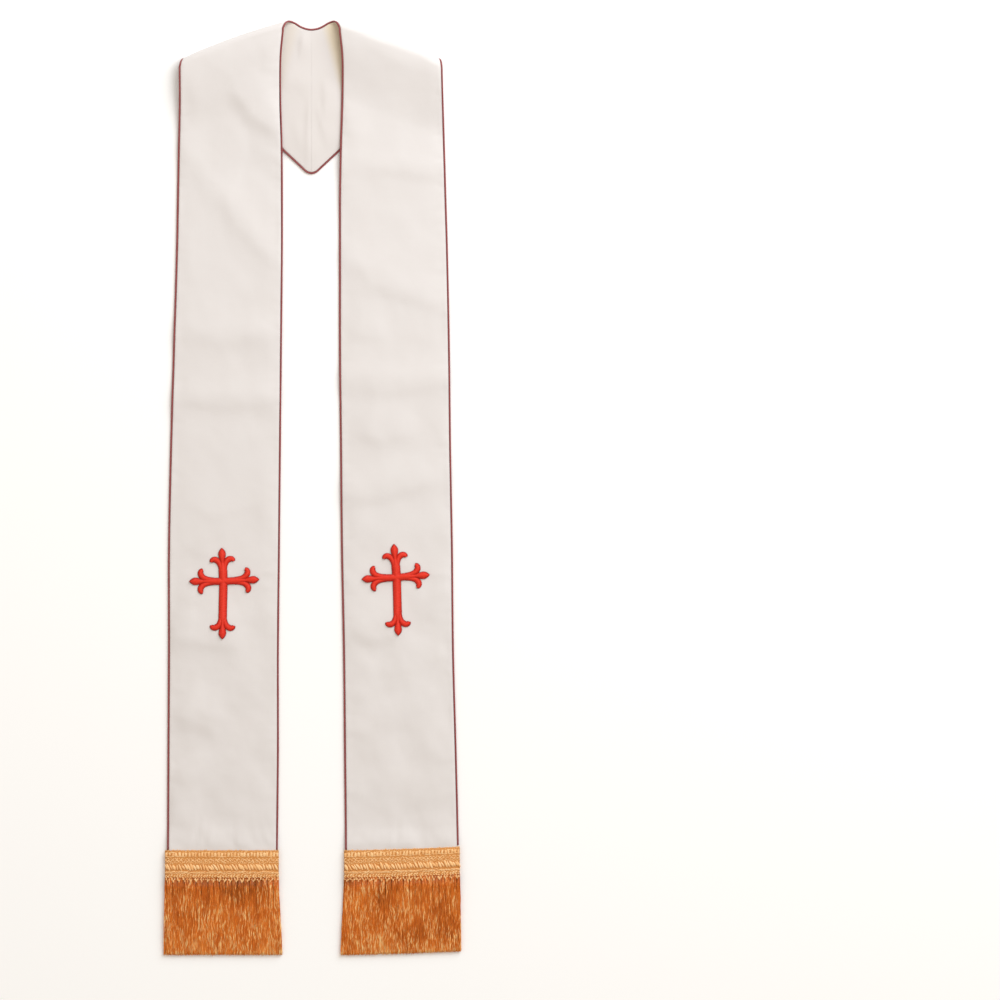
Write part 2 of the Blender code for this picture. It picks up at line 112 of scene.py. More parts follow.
# creases placed one by one, each a ridge that falls off short along its lower (or left) side:
# (x, down) of its start, middle and end, then its rise and how wide the short side is, all in mm
creases = {
    "left": (
        (-108, 98, -85, 130, -48, 158, 3.5, 15), (-126, 232, -104, 282, -46, 332, 0.8, 14),
        (-72, 32, -62, 46, -52, 54, 0.35, 8), (-68, 64, -58, 66, -46, 67, 0.4, 5),
        (-136, 62, -104, 84, -70, 92, 0.5, 13), (-168, 416, -118, 444, -62, 420, 0.85, 15),
        (-186, 512, -130, 522, -48, 520, 0.6, 10), (-168, 654, -132, 672, -60, 652, 0.65, 10),
        (-176, 712, -156, 718, -138, 722, 0.3, 7), (-73, 747, -62, 746, -48, 748, 0.42, 2.5),
        (-68, 764, -60, 768, -50, 766, 0.32, 6), (-184, 838, -146, 845, -102, 852, 2.7, 16),
        (-182, 942, -160, 952, -134, 962, 1.9, 14), (-190, 1010, -180, 1024, -166, 1036, 1.2, 12),
        (-100, 1016, -78, 1000, -54, 980, 0.35, 14), (-150, 1062, -120, 1074, -84, 1070, 0.25, 12),
        (-150, 1088, -144, 1100, -134, 1116, 0.4, 4), (-114, 1092, -108, 1104, -98, 1116, 0.35, 4),
        (-184, 1100, -176, 1108, -164, 1116, 0.35, 4), (-66, 1096, -62, 1106, -54, 1116, 0.35, 4),
    ),
    "right": (
        (76, 30, 108, 56, 170, 80, 0.5, 14), (86, 200, 128, 208, 174, 212, 0.6, 10),
        (58, 324, 80, 362, 172, 387, 0.95, 14), (50, 422, 74, 430, 100, 428, 0.9, 11),
        (60, 500, 112, 506, 172, 494, 0.85, 14), (60, 560, 94, 572, 136, 560, 1.9, 16),
        (160, 540, 172, 556, 178, 580, 0.35, 6), (52, 650, 96, 646, 156, 628, 0.95, 12),
        (50, 694, 62, 702, 78, 714, 0.45, 9), (163, 750, 172, 748, 184, 747, 0.42, 2.5),
        (50, 828, 86, 840, 126, 832, 1.9, 14), (165, 860, 172, 862, 182, 858, 0.45, 6),
        (94, 878, 112, 884, 132, 876, 0.8, 13), (46, 956, 58, 962, 74, 966, 0.8, 9),
        (164, 930, 146, 984, 122, 1046, 1.1, 16), (46, 1040, 54, 1044, 66, 1046, 0.4, 7),
        (66, 1092, 74, 1104, 84, 1116, 0.4, 4), (118, 1094, 124, 1104, 134, 1116, 0.35, 4),
        (92, 1098, 98, 1106, 106, 1116, 0.3, 4), (158, 1084, 166, 1098, 182, 1112, 0.4, 5),
    ),
    "yoke": (
        (-40, 84, -22, 88, -4, 96, 0.8, 7), (-15.5, 18, -15, 26, -15, 42, 0.9, 3.5),
        (15, 86, 16, 102, 15, 124, 0.85, 5), (-6, 112, -8, 150, -7, 186, 0.8, 5),
        (6, 118, 12, 142, 20, 166, 0.75, 5), (-26, 140, -20, 160, -12, 176, 0.6, 5),
    ),
}
gentle = 3.2  # how many times wider the long side of a crease is
blend = {"ends": 0.24, "crest": 0.7, "rise": 1.3, "reach": 3}


def smooth(x):
    x = min(max(x, 0.0), 1.0)
    return x * x * (3 - 2 * x)


def lerp(a, b, share):
    return a + (b - a) * share


def bell(x):
    return exp(-x * x)


def neighbours(items, k):
    return items[max(k - 1, 0)], items[min(k + 1, len(items) - 1)]


# distance from the centre line to an edge of a front (column 1 is the inner, 2 the outer)
def outlineAt(side, down, column):
    rows = frontOutline[side]
    level = min(max(down / mm, rows[0][0]), rows[-1][0])
    k = max(i for i in range(len(rows) - 1) if rows[i][0] <= level)

    def slope(i):
        before, after = neighbours(rows, i)
        return (after[column] - before[column]) / (after[0] - before[0])

    step = rows[k + 1][0] - rows[k][0]
    s = (level - rows[k][0]) / step
    ends = (2 * s**3 - 3 * s**2 + 1) * rows[k][column] + (3 * s**2 - 2 * s**3) * rows[k + 1][column]
    turns = (s**3 - 2 * s**2 + s) * slope(k) + (s**3 - s**2) * slope(k + 1)
    return (ends + step * turns) * mm


# (outwards, down) along the shoulder fold, and square to it
foldAlong = Vector((cut["shoulderRun"], cut["shoulderDrop"])).normalized()
foldOut = Vector((foldAlong.y, -foldAlong.x))
yokeSlope = (cut["yokePointDown"] - cut["yokeCorner"][1]) / cut["yokeCorner"][0]


def bulge(share):
    return cut["shoulderBulge"] * 4 * share * (1 - share)


# (distance from the centre line, distance below the peak) on a front
def frontPlan(side, run, share):
    slantLeft = 1 - smooth(run / cut["levelRun"])
    down = cut["neckFrontDown"] + run + (cut["shoulderDrop"] * share - bulge(share)) * slantLeft
    return Vector((lerp(outlineAt(side, down, 1), outlineAt(side, down, 2), share), down))


def foldsAt(side, x, down):
    middle = sides[side] * cut["frontMiddle"]
    height = 0.0
    for level, slope, rise, halfWidth in broadFolds[side]:
        turn = radians(slope)
        off = (down - level * mm) * cos(turn) - (x - middle) * sin(turn)
        height += rise * mm * bell(off / (halfWidth * mm))
    return height


def frontHeight(side, plan):
    neck = Vector((outlineAt(side, cut["neckFrontDown"], 1), cut["neckFrontDown"]))
    fromFold = max(-(plan - neck).dot(foldOut), 0.0)
    pastYoke = (plan.y - cut["yokePointDown"] + yokeSlope * plan.x) / hypot(1, yokeSlope)
    inner, outer = cut["settleRun"][side]
    start, run = cut["settleTurn"]
    settleRun = lerp(inner, outer, smooth((plan.x - start) / run))
    onYoke = (cut["pipingWide"] + cut["seamGap"]) * (1 - smooth(pastYoke / settleRun))
    height = cut["halfThick"] + lerp(2 * cut["foldRadius"], onYoke, smooth(fromFold / cut["loopRun"]))
    height += foldsAt(side, sides[side] * plan.x, plan.y)
    hemRise = cut["backBraidThick"] + cut["layGap"]
    return height + hemRise * smooth((plan.y - cut["hemRiseDown"]) / cut["hemRiseRun"])


# how far the braid and fringe are lifted up the front at x, one number or many
def hemLift(side, x):
    near, far = cut["trimSpan"][side]
    return cut["hemTilt"][side] * np.maximum((abs(x) - near) / (far - near), 0.0) ** cut["hemCurve"]


def neckEdge(off):
    dip, (neckX, neckDown) = cut["neckDip"], cut["neckBack"]
    return dip - (dip - neckDown) * (off / neckX) ** 2


def pointEdge(off):
    lean = atan(yokeSlope)
    radius = cut["yokePointRadius"]
    if off > radius * sin(lean):
        return cut["yokePointDown"] - yokeSlope * off
    return cut["yokePointDown"] - radius / cos(lean) + sqrt(radius**2 - off**2)


def yokePlan(part, share):
    upper = lerp(cut["neckBack"][0], cut["centreSeam"] / 2, part)
    lower = lerp(cut["yokeCorner"][0], cut["centreSeam"] / 2, part)
    plan = Vector((upper, neckEdge(upper))).lerp(Vector((lower, pointEdge(lower))), share)
    return plan - Vector((0, bulge(share) * (1 - part) ** 2))


# a point between the two layers; row is (zone, value)
def middleAt(side, row, share):
    zone, value = row
    if zone == "front":
        plan = frontPlan(side, value, share)
        height = frontHeight(side, plan)
    elif zone == "fold":
        plan = frontPlan(side, 0, share).lerp(yokePlan(0, share), value)
        plan += foldOut * cut["foldRadius"] * sin(pi * value)
        height = cut["halfThick"] + cut["foldRadius"] * (1 + cos(pi * value))
    else:
        plan = yokePlan(value, share)
        height = cut["halfThick"]
    return Vector((sides[side] * plan.x, peak - plan.y, height))


# rows of points from the hem up the front, round the fold and across the yoke to the centre seam
def rowsOf(frontStep, foldTurns, yokeSteps):
    run = cut["hemDown"] - cut["neckFrontDown"]
    steps = round(run / frontStep)
    rows = [("front", run * (1 - k / steps)) for k in range(steps + 1)]
    rows += [("fold", (k + 1) / (foldTurns + 1)) for k in range(foldTurns)]
    return rows + [("yoke", 1 - (1 - k / yokeSteps) ** cut["yokeSpacing"]) for k in range(yokeSteps + 1)]


# the share of a row's width that a distance in from one of its edges takes up
def insetShare(side, rows, k, edge, inset):
    across = middleAt(side, rows[k], 1) - middleAt(side, rows[k], 0)
    before, after = (middleAt(side, row, edge) for row in neighbours(rows, k))
    squareOn = across.normalized().cross((after - before).normalized()).length
    return inset / (across.length * squareOn)


# height that the hand-placed creases add, x and down in metres
def creasesAt(table, x, down):
    total = 0.0
    spot = Vector((x, down)) / mm
    for *ends, rise, width in table:
        nearest = None
        for k in (0, 1):
            a, b = Vector(ends[2 * k : 2 * k + 2]), Vector(ends[2 * k + 2 : 2 * k + 4])
            along, here = b - a, spot - a
            t = here.dot(along) / along.length_squared
            away = (here - along * min(max(t, 0.0), 1.0)).length
            below = (along.x * here.y - along.y * here.x) / along.length
            if t > 1 and k == 0 or t < 0 and k == 1:  # outside the bend
                below = copysign(away, below)
            if nearest is None or away < nearest[0]:
                nearest = (away, (k + t) / 2, below)
        away, t, below = nearest
        if away > blend["reach"] * gentle * width:
            continue
        off = -below / width - blend["crest"]
        fade = smooth(t / blend["ends"] / 2 + 0.5) * smooth((1 - t) / blend["ends"] / 2 + 0.5)
        total += blend["rise"] * rise * mm * fade * bell(off if off < 0 else off / gentle)
    return total


# in mm: soft unevenness, more of it lower down, and flutes that the braid's weight draws in the hem
unevenSizes = ((1.1, 40, 50), (0.30, 18, 22), (0.08, 6, 8))  # rise, then how far across and down
unevenMore = {"share": (0.9, 1.7), "start": 640, "run": 160}
unevenApart = {"wave": 7.3, "side": 3}
fluteSizes = {
    "rise": 1.1, "pitch": 9.5, "run": 26.0, "middle": 120, "fan": 140,
    "sway": 0.7, "swayAcross": 0.6, "swayDown": 60, "apart": 0.4,
}


def unevenAt(side, x, down):
    total, sizes = 0.0, fluteSizes
    for k, (rise, wide, deep) in enumerate(unevenSizes):
        apart = unevenApart["wave"] * k + unevenApart["side"] * sides[side]
        total += rise * noise.noise(Vector((x / mm / wide, down / mm / deep, apart)))
    total *= lerp(*unevenMore["share"], smooth((down / mm - unevenMore["start"]) / unevenMore["run"]))
    above = (cut["braidDown"] - down) / mm
    if above < 2 * sizes["run"]:
        lean = (abs(x) / mm - sizes["middle"]) * above / sizes["fan"]
        across = (abs(x) / mm + lean) / sizes["pitch"]
        place = Vector((across * sizes["swayAcross"], above / sizes["swayDown"], sides[side]))
        swayed = across + sizes["sway"] * noise.noise(place)
        flute = 2 * sizes["rise"] * noise.noise(Vector((swayed, sizes["apart"] * sides[side], 0)))
        total += flute * exp(-above / sizes["run"])
    return total * mm


# small puckers that the stitching draws in along an edge, in mm
puckerSizes = {
    "spacing": (9, 26), "halfWidth": (1.8, 4.0), "reach": (5, 17), "depth": (0.12, 0.5), "slant": (-0.5, 0.5),
    "edge": 1400, "farthest": 40,
}


def drawPuckers(length, seed):
    draw = random.Random(seed)
    puckers, place = [], 0.0
    while place < length:
        place += draw.uniform(*puckerSizes["spacing"])
        shape = [draw.uniform(*puckerSizes[k]) for k in ("halfWidth", "reach", "depth")]
        puckers.append((place, draw.uniform(*puckerSizes["slant"]), *shape))
    return puckers


def puckersAt(puckers, along, inwards):
    along, inwards = along / mm, inwards / mm
    total = 0.0
    if inwards > puckerSizes["farthest"]:
        return total
    for place, slant, halfWidth, reach, depth in puckers:
        off = along - place - slant * inwards
        if abs(off) < 3 * halfWidth:
            total -= depth * mm * bell(off / halfWidth) * bell(inwards / reach)
    return total


edgePuckers = {}
for side in sides:
    for edge in (0, 1):
        edgePuckers[side, edge] = drawPuckers(puckerSizes["edge"], f"{side} {edge}")

# how the outer cloth swells between its seams
swell = {
    "rise": 0.45 * mm, "run": 20 * mm, "roll": 0.4 * mm, "rollRun": 1.6 * mm, "hemRun": 9 * mm,
    "unevenRun": 8 * mm, "lowest": -0.5 * mm,
}


# height of the outer face over its plain form, on a front
def frontRelief(side, plan, fromInner, fromOuter):
    nearest = min(fromInner, fromOuter)
    relief = swell["rise"] * smooth(nearest / swell["run"])
    relief += creasesAt(creases[side], sides[side] * plan.x, plan.y)
    relief += unevenAt(side, sides[side] * plan.x, plan.y) * smooth(nearest / swell["unevenRun"])
    relief += puckersAt(edgePuckers[side, 0], plan.y, fromInner)
    relief += puckersAt(edgePuckers[side, 1], plan.y, fromOuter)
    relief *= smooth((cut["braidDown"] - plan.y) / swell["hemRun"])
    relief -= swell["roll"] * bell(nearest / swell["rollRun"])
    return max(relief, swell["lowest"])


# top of the outer cloth on a front, for what lies on it; x and y in metres
def clothTop(side, x, y):
    plan = Vector((abs(x), peak - y))
    fromInner = plan.x - outlineAt(side, plan.y, 1) - cut["pipingWide"]
    fromOuter = outlineAt(side, plan.y, 2) - cut["pipingWide"] - plan.x
    return frontHeight(side, plan) + cut["halfThick"] + frontRelief(side, plan, fromInner, fromOuter)


# a grid whose points go where the table says, with a UV map in mm where one is given
def gridPiece(points, uvs, closeRound=False):
    rows, columns = len(points) - 1, len(points[0]) - 1
    bm = bmesh.new()
    bmesh.ops.create_grid(bm, x_segments=columns, y_segments=rows, size=1)
    uvLayer = bm.loops.layers.uv.new("cut") if uvs else None
    spots = {v: (round((v.co.x + 1) / 2 * columns), round((v.co.y + 1) / 2 * rows)) for v in bm.verts}
    for face in bm.faces if uvs else ():
        for loop in face.loops:
            j, k = spots[loop.vert]
            loop[uvLayer].uv = uvs[k][j]
    for v, (j, k) in spots.items():
        v.co = points[k][j]
    if closeRound:
        bmesh.ops.remove_doubles(bm, verts=bm.verts, dist=0.001 * mm)
        bmesh.ops.holes_fill(bm, edges=[e for e in bm.edges if e.is_boundary], sides=0)
        bmesh.ops.recalc_face_normals(bm, faces=bm.faces)
    return bm


# the turns of a ring's points, the last on the first
def turnsAround(count):
    return [2 * pi * j / count for j in range(count + 1)]


def meshFrom(bm, name):
    mesh = bpy.data.meshes.new(name)
    bm.to_mesh(mesh)
    bm.free()
    return mesh


def objectOf(name, data):
    obj = bpy.data.objects.new(name, data)
    scene.collection.objects.link(obj)
    return obj


def pieceOf(mesh, name, material):
    mesh.materials.append(material)
    mesh.shade_smooth()
    obj = objectOf(name, mesh)
    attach(obj, "root")
    return obj


def pieceFrom(bm, name, material):
    return pieceOf(meshFrom(bm, name), name, material)


# one template mesh set down many times by a table of 4 x 4 matrices, joined as one mesh
def repeated(template, places, attributes=None):
    count = len(template.vertices)
    verts = np.empty(count * 3)
    template.vertices.foreach_get("co", verts)
    verts = np.c_[verts.reshape(-1, 3), np.ones(count)]
    placed = np.einsum("nij,vj->nvi", np.array([list(map(list, m)) for m in places]), verts)[..., :3]
    return joinCopies(template, placed.reshape(-1, 3), len(places), attributes)


def joinCopies(template, points, copies, attributes=None):
    count = len(template.vertices)
    faces = [tuple(p.vertices) for p in template.polygons]
    mesh = bpy.data.meshes.new("copies")
    allFaces = [tuple(i + n * count for i in f) for n in range(copies) for f in faces]
    mesh.from_pydata(points.tolist(), [], allFaces)
    uvSource = template.uv_layers.active
    if uvSource:
        flat = np.empty(len(uvSource.data) * 2, np.float32)
        uvSource.data.foreach_get("uv", flat)
        mesh.uv_layers.new(name="cut").data.foreach_set("uv", np.tile(flat, copies))
    for name, values in (attributes or {}).items():
        layer = mesh.attributes.new(name, "FLOAT", "POINT")
        layer.data.foreach_set("value", np.asarray(values, np.float32))
    return mesh


# a short way to write a material's nodes
class Nodes:
    def __init__(self, name):
        self.material = bpy.data.materials.new(name)
        self.material.use_nodes = True
        self.tree = self.material.node_tree
        self.shader = self.tree.nodes["Principled BSDF"]

    def feed(self, socket, value):
        if isinstance(value, bpy.types.NodeSocket):
            self.tree.links.new(value, socket)
        else:
            socket.default_value = value

    def add(self, kind, links=None, **settings):
        node = self.tree.nodes.new("ShaderNode" + kind)
        for key, value in settings.items():
            setattr(node, key, value)
        for key, value in (links or {}).items():
            self.feed(node.inputs[key], value)
        return node

    def set(self, **values):
        for key, value in values.items():
            self.feed(self.shader.inputs[key.replace("_", " ")], value)

    def finish(self, colour, look, **values):
        self.set(Base_Color=colour, Roughness=look["rough"], Specular_IOR_Level=look["specular"], **values)
        return self.material

    def math(self, operation, a, b=0.0, clamp=False):
        return self.add("Math", {0: a, 1: b}, operation=operation, use_clamp=clamp).outputs[0]

    def plus(self, a, b):
        return self.math("ADD", a, b)

    def minus(self, a, b):
        return self.math("SUBTRACT", a, b)

    def times(self, a, b):
        return self.math("MULTIPLY", a, b)

    def power(self, a, b):
        return self.math("POWER", a, b)

    def rising(self, value, start, gain):  # 0 up to the start, then up to 1
        return self.math("MULTIPLY", self.minus(value, start), gain, clamp=True)

    def line(self, value, gain, start):
        return self.plus(self.times(value, gain), start)

    def vector(self, operation, a, links):
        return self.add("VectorMath", {0: a, **links}, operation=operation).outputs[0]

    def attribute(self, name):
        return self.add("Attribute", attribute_name=name).outputs["Fac"]

    def flatPlace(self):  # the UV map in mm, whole and as X and Y
        uv = self.add("UVMap", uv_map="cut").outputs["UV"]
        split = self.add("SeparateXYZ", {"Vector": uv})
        return uv, split.outputs["X"], split.outputs["Y"]

    def threads(self, along, pitch):
        return self.math("SINE", self.times(along, 2 * pi / pitch))

    def noise(self, vector, scale, detail, rough):
        links = {"Vector": vector, "Scale": scale, "Detail": detail, "Roughness": rough}
        return self.add("TexNoise", links).outputs["Fac"]

    def streaks(self, vector, scales, detail, rough):  # noise stretched by a scale for each axis
        stretched = self.add("Mapping", {"Vector": vector, "Scale": scales}).outputs["Vector"]
        return self.noise(stretched, 1.0, detail, rough)

    def ramp(self, value, stops):
        node = self.add("ValToRGB", {"Fac": value})
        elements = node.color_ramp.elements
        for k, (place, colour) in enumerate(stops):
            element = elements[k] if k < 2 else elements.new(place)
            element.position = place
            element.color = (*colour, 1)
        return node.outputs["Color"]

    def mix(self, share, a, b):
        return self.add("Mix", {0: share, 6: a, 7: b}, data_type="RGBA").outputs[2]

    def bump(self, height, strength, distance, under=None):
        links = {"Height": height, "Strength": strength, "Distance": distance}
        if under:
            links["Normal"] = under
        return self.add("Bump", links).outputs["Normal"]


# woven cloth: threads both ways, a few thicker ones, and a soft unevenness of tone; pitches and heights in mm
weaveLook = {"slubs": (0.04, 1.4, 1), "high": 0.06, "softScale": 90.0, "softHigh": 0.6, "sheenRough": 0.45}


def wovenCloth(name, look):
    n = Nodes(name)
    uv, across, along = n.flatPlace()
    place = n.add("TexCoord").outputs["Object"]
    warp, weft = (n.times(n.threads(way, look["pitch"]), 0.5) for way in (across, along))
    slubs = n.streaks(uv, weaveLook["slubs"], 3.0, 0.6)
    tone = n.mix(n.noise(place, look["blotch"], 3.0, 0.55), look["shade"], look["colour"])
    tone = n.mix(n.times(slubs, look["slub"]), tone, look["light"])
    # painted shadow: a warm shadow tone mixed into the lining beside the neck
    if "neckShadow" in look:
        tone = n.mix(n.attribute("neckShadow"), tone, look["neckShadow"])
    fine = n.bump(n.plus(warp, weft), look["weave"], weaveLook["high"] * mm)
    soft = n.noise(place, weaveLook["softScale"], 4.0, 0.6)
    n.set(Normal=n.bump(soft, look["soft"], weaveLook["softHigh"] * mm, fine))
    return n.finish(tone, look, Sheen_Weight=look["sheen"], Sheen_Roughness=weaveLook["sheenRough"])


ivoryCloth = wovenCloth("ivory_cloth", {
    "pitch": 0.5, "blotch": 9.0, "slub": 0.35, "weave": 0.35, "soft": 0.12, "rough": 0.62,
    "colour": (0.737, 0.705, 0.709, 1), "shade": (0.704, 0.666, 0.66, 1), "light": (0.765, 0.738, 0.747, 1),
    "sheen": 0.25, "specular": 0.32,
})
ivoryLining = wovenCloth("ivory_lining", {
    "pitch": 0.34, "blotch": 11.0, "slub": 0.15, "weave": 0.2, "soft": 0.1, "rough": 0.55,
    "colour": (0.72, 0.682, 0.68, 1), "shade": (0.682, 0.64, 0.63, 1), "light": (0.748, 0.714, 0.72, 1),
    # the warm tone below is a painted shadow for the lining beside the neck
    "neckShadow": (0.75, 0.655, 0.51, 1), "sheen": 0.2, "specular": 0.35,
})

# satin bias strip over a cord: slanting threads and small wrinkles
satinLook = {
    "pitch": 0.45, "wrinkles": (0.3, 0.55, 1),
    "thread": (0.3, 0.05), "wrinkle": (0.5, 0.3),  # strength and height in mm of each relief
    "tones": ((0.25, (0.19, 0.030, 0.034)), (0.6, (0.28, 0.052, 0.055)), (0.85, (0.40, 0.11, 0.10))),
    "rough": 0.42, "specular": 0.45, "sheen": 0.15,
}


def pipingSatin():
    n, look = Nodes("red_piping"), satinLook
    uv, across, along = n.flatPlace()
    wrinkles = n.streaks(uv, look["wrinkles"], 3.0, 0.6)
    (fine, fineHigh), (soft, softHigh) = look["thread"], look["wrinkle"]
    threads = n.bump(n.threads(n.plus(across, along), look["pitch"]), fine, fineHigh * mm)
    n.set(Normal=n.bump(wrinkles, soft, softHigh * mm, threads))
    return n.finish(n.ramp(wrinkles, look["tones"]), look, Sheen_Weight=look["sheen"])


# thread laid side by side: Y of the UV map runs along the stitched band, in mm
threadLook = {"uneven": (0.12, 2.2, 1), "high": 0.12, "edgeShadeGain": 3.2, "edgeShadePower": 1.5}


def stitchedThread(name, look):
    n = Nodes(name)
    uv, across, along = n.flatPlace()
    threads = n.threads(n.plus(along, n.times(across, look["slant"])), look["pitch"])
    tone = uneven = n.streaks(uv, threadLook["uneven"], 3.0, 0.6)
    if "edges" in look:  # painted shade: darker where the band turns down
        facing = n.add("SeparateXYZ", {"Vector": n.add("TexCoord").outputs["Normal"]}).outputs["Z"]
        turned = n.math("MULTIPLY", n.minus(1.0, facing), threadLook["edgeShadeGain"], clamp=True)
        tone = n.minus(tone, n.times(n.power(turned, threadLook["edgeShadePower"]), look["edges"]))
    if "spread" in look:  # each stitch has its own tint
        tone = n.plus(tone, n.times(n.minus(n.attribute("tint"), 0.5), look["spread"]))
    height = n.plus(n.times(threads, 0.5), uneven)
    n.set(Normal=n.bump(height, look["relief"], threadLook["high"] * mm))
    return n.finish(n.ramp(tone, look["tones"]), look, Sheen_Weight=look["sheen"])


redPiping = pipingSatin()
redThread = stitchedThread("red_embroidery", {
    "pitch": 0.42, "slant": 0.45, "relief": 0.6, "rough": 0.45, "specular": 0.22, "sheen": 0.0,
    # painted shade on the bands' sloping sides
    "edges": 0.5,
    "tones": (
        (0.05, (0.34, 0.010, 0.006)), (0.28, (0.62, 0.020, 0.008)),
        (0.5, (0.78, 0.034, 0.014)), (0.8, (0.87, 0.065, 0.026)),
    ),
})
goldCord = stitchedThread("gold_braid", {
    "pitch": 0.8, "slant": 0.9, "relief": 0.8, "rough": 0.38, "specular": 0.45, "sheen": 0.1,
    "spread": 0.34,
    "tones": ((0.2, (0.80, 0.37, 0.11)), (0.5, (0.95, 0.55, 0.235)), (0.85, (0.98, 0.69, 0.37))),
})
goldGround = stitchedThread("gold_braid_ground", {
    "pitch": 0.7, "slant": 0.0, "relief": 0.8, "rough": 0.5, "specular": 0.4, "sheen": 0.1,
    "tones": ((0.2, (0.48, 0.15, 0.025)), (0.5, (0.64, 0.25, 0.05)), (0.8, (0.76, 0.35, 0.09))),
})

# rayon strands: each has its own tint, painted shade darkens the deep ones and the roots under the braid, and
# painted glints lie in short flecks along the bends
fringeLook = {
    "stops": (
        (0.08, (0.38, 0.092, 0.006)),
        (0.32, (0.64, 0.145, 0.009)),
        (0.55, (0.83, 0.225, 0.022)),
        (0.76, (0.97, 0.420, 0.095)),
        (0.96, (1.00, 0.660, 0.290)),
    ),
    "bend": (55.0, 6 * mm),  # scale of the waves that bend the rows of painted glints, and how far they move them
    "paintedGlints": (1050, 82, 300), "glintShows": (0.46, 5.4), "glintPower": 1.7,
    "clusters": (58, 30, 1), "clusterShows": (0.36, 3.6), "patches": (26, 16, 1),
    # what the painted glints are multiplied by: a gain and a least value each
    "glintAlong": (0.45, 0.55), "glintTint": (1.2, 0.5), "glintCluster": (0.85, 0.45),
    "patch": 0.9, "tint": 0.16, "depth": 0.22, "tip": 0.26, "tipPower": 4.0,
    # root and its power: painted shade at the strands' roots, under the braid
    "root": 0.40, "rootShadePower": 9.0, "least": 0.10,
    "rough": 0.32, "specular": 0.38, "anisotropic": 0.5,
}


def fringeRayon():
    n, look = Nodes("gold_fringe"), fringeLook
    tint, along, depth = (n.attribute(key) for key in ("tint", "along", "depth"))
    place = n.add("TexCoord").outputs["Object"]
    scale, far = look["bend"]
    bend = n.add("TexNoise", {"Vector": place, "Scale": scale, "Detail": 1.0}).outputs["Color"]
    bend = n.vector("SCALE", n.vector("SUBTRACT", bend, {1: (0.5, 0.5, 0.5)}), {"Scale": far})
    bent = n.vector("ADD", place, {1: bend})
    # painted glints: short bright flecks added to the strands' tone
    paintedGlint = n.rising(n.streaks(bent, look["paintedGlints"], 2.0, 0.6), *look["glintShows"])
    paintedGlint = n.power(paintedGlint, look["glintPower"])
    cluster = n.rising(n.streaks(place, look["clusters"], 1.0, 0.5), *look["clusterShows"])
    for part, key in ((along, "glintAlong"), (tint, "glintTint"), (cluster, "glintCluster")):
        paintedGlint = n.times(paintedGlint, n.line(part, *look[key]))
    patch = n.streaks(place, look["patches"], 2.0, 0.5)
    value = n.times(n.minus(patch, 0.5), look["patch"])
    # the depth term is painted shade: strands lying lower, under the others, come out darker
    for part, key in ((tint, "tint"), (depth, "depth"), (n.power(along, look["tipPower"]), "tip")):
        value = n.plus(value, n.times(part, look[key]))
    # painted shade at the strands' roots, under the braid
    shade = n.times(n.power(n.minus(1.0, along), look["rootShadePower"]), look["root"])
    value = n.plus(n.minus(n.plus(value, paintedGlint), shade), look["least"])
    return n.finish(n.ramp(value, look["stops"]), look, Anisotropic=look["anisotropic"])


goldFringe = fringeRayon()
print("materials made")


clothSizes = {
    "seam": 0.15 * mm,
    "narrowest": 30 * mm,  # a row's columns are spaced as on cloth this wide at least
    "outer": {"columns": 42, "frontStep": 3.6 * mm, "foldTurns": 15, "yokeSteps": 44, "layer": 1},
    "lining": {"columns": 26, "frontStep": 6.0 * mm, "foldTurns": 11, "yokeSteps": 44, "layer": -1},
}
edgeColumns = (0, 0.9, 2.0, 3.6, 6.0)  # mm in from each edge, where the cloth rolls into its seam


def columnShares(width, columns):
    near = [d * mm / width for d in edgeColumns]
    inner = columns - 2 * len(edgeColumns) + 2
    between = [lerp(near[-1], 1 - near[-1], k / inner) for k in range(1, inner)]
    return near + between + [1 - s for s in reversed(near)]


def clothPiece(side, name, kind, material):
    sizes = clothSizes[kind]
    layer = sizes["layer"]
    rows = rowsOf(sizes["frontStep"], sizes["foldTurns"], sizes["yokeSteps"])
    inset = cut["pipingWide"] + clothSizes["seam"]
    shares, middle = [], []
    for k, row in enumerate(rows):
        first = insetShare(side, rows, k, 0, inset)
        last = 1 - insetShare(side, rows, k, 1, inset)
        across = (middleAt(side, row, last) - middleAt(side, row, first)).length
        spaced = columnShares(max(across, clothSizes["narrowest"]), sizes["columns"])
        shares.append([lerp(first, last, s) for s in spaced])
        middle.append([middleAt(side, row, s) for s in shares[-1]])
    points, uvs = [], []
    for k, line in enumerate(middle):
        before, after = neighbours(middle, k)
        points.append([])
        uvs.append([])
        for j, point in enumerate(line):
            inner, outer = neighbours(line, j)
            outwards = (outer - inner).cross(after[j] - before[j]).normalized() * sides[side]
            rise = reliefAt(side, kind, rows[k], point, (point - line[0]).length, (point - line[-1]).length)
            points[-1].append(point + outwards * (layer * cut["halfThick"] + rise))
            along = uvs[k - 1][j][1] + (point - middle[k - 1][j]).length / mm if k else 0.0
            uvs[-1].append(((point - line[0]).length / mm, along))
    bm = gridPiece(points, uvs)
    if (side == "left") == (layer > 0):
        bmesh.ops.reverse_faces(bm, faces=bm.faces)
    obj = pieceFrom(bm, name, material)
    wall = obj.modifiers.new("wall", "SOLIDIFY")
    wall.thickness = cut["layerThick"]
    wall.offset = -1
    return obj


# what shows of the creases on the yoke's outer cloth and on the lining of a front, and how far they reach
shownCreases = {"yoke": (0.4, 0.5 * mm), "front": (0.5, 0.5 * mm)}
liningSizes = {
    "swell": 0.5 * mm, "swellRun": 18 * mm, "most": 0.5 * mm, "liftOnFront": 0.1 * mm,
    "neckEnd": 37 * mm, "neckRun": 6 * mm,  # the neck's creases fade here, where the fronts cover them
    "seam": 0.02 * mm, "seamWide": 1.6 * mm,
}


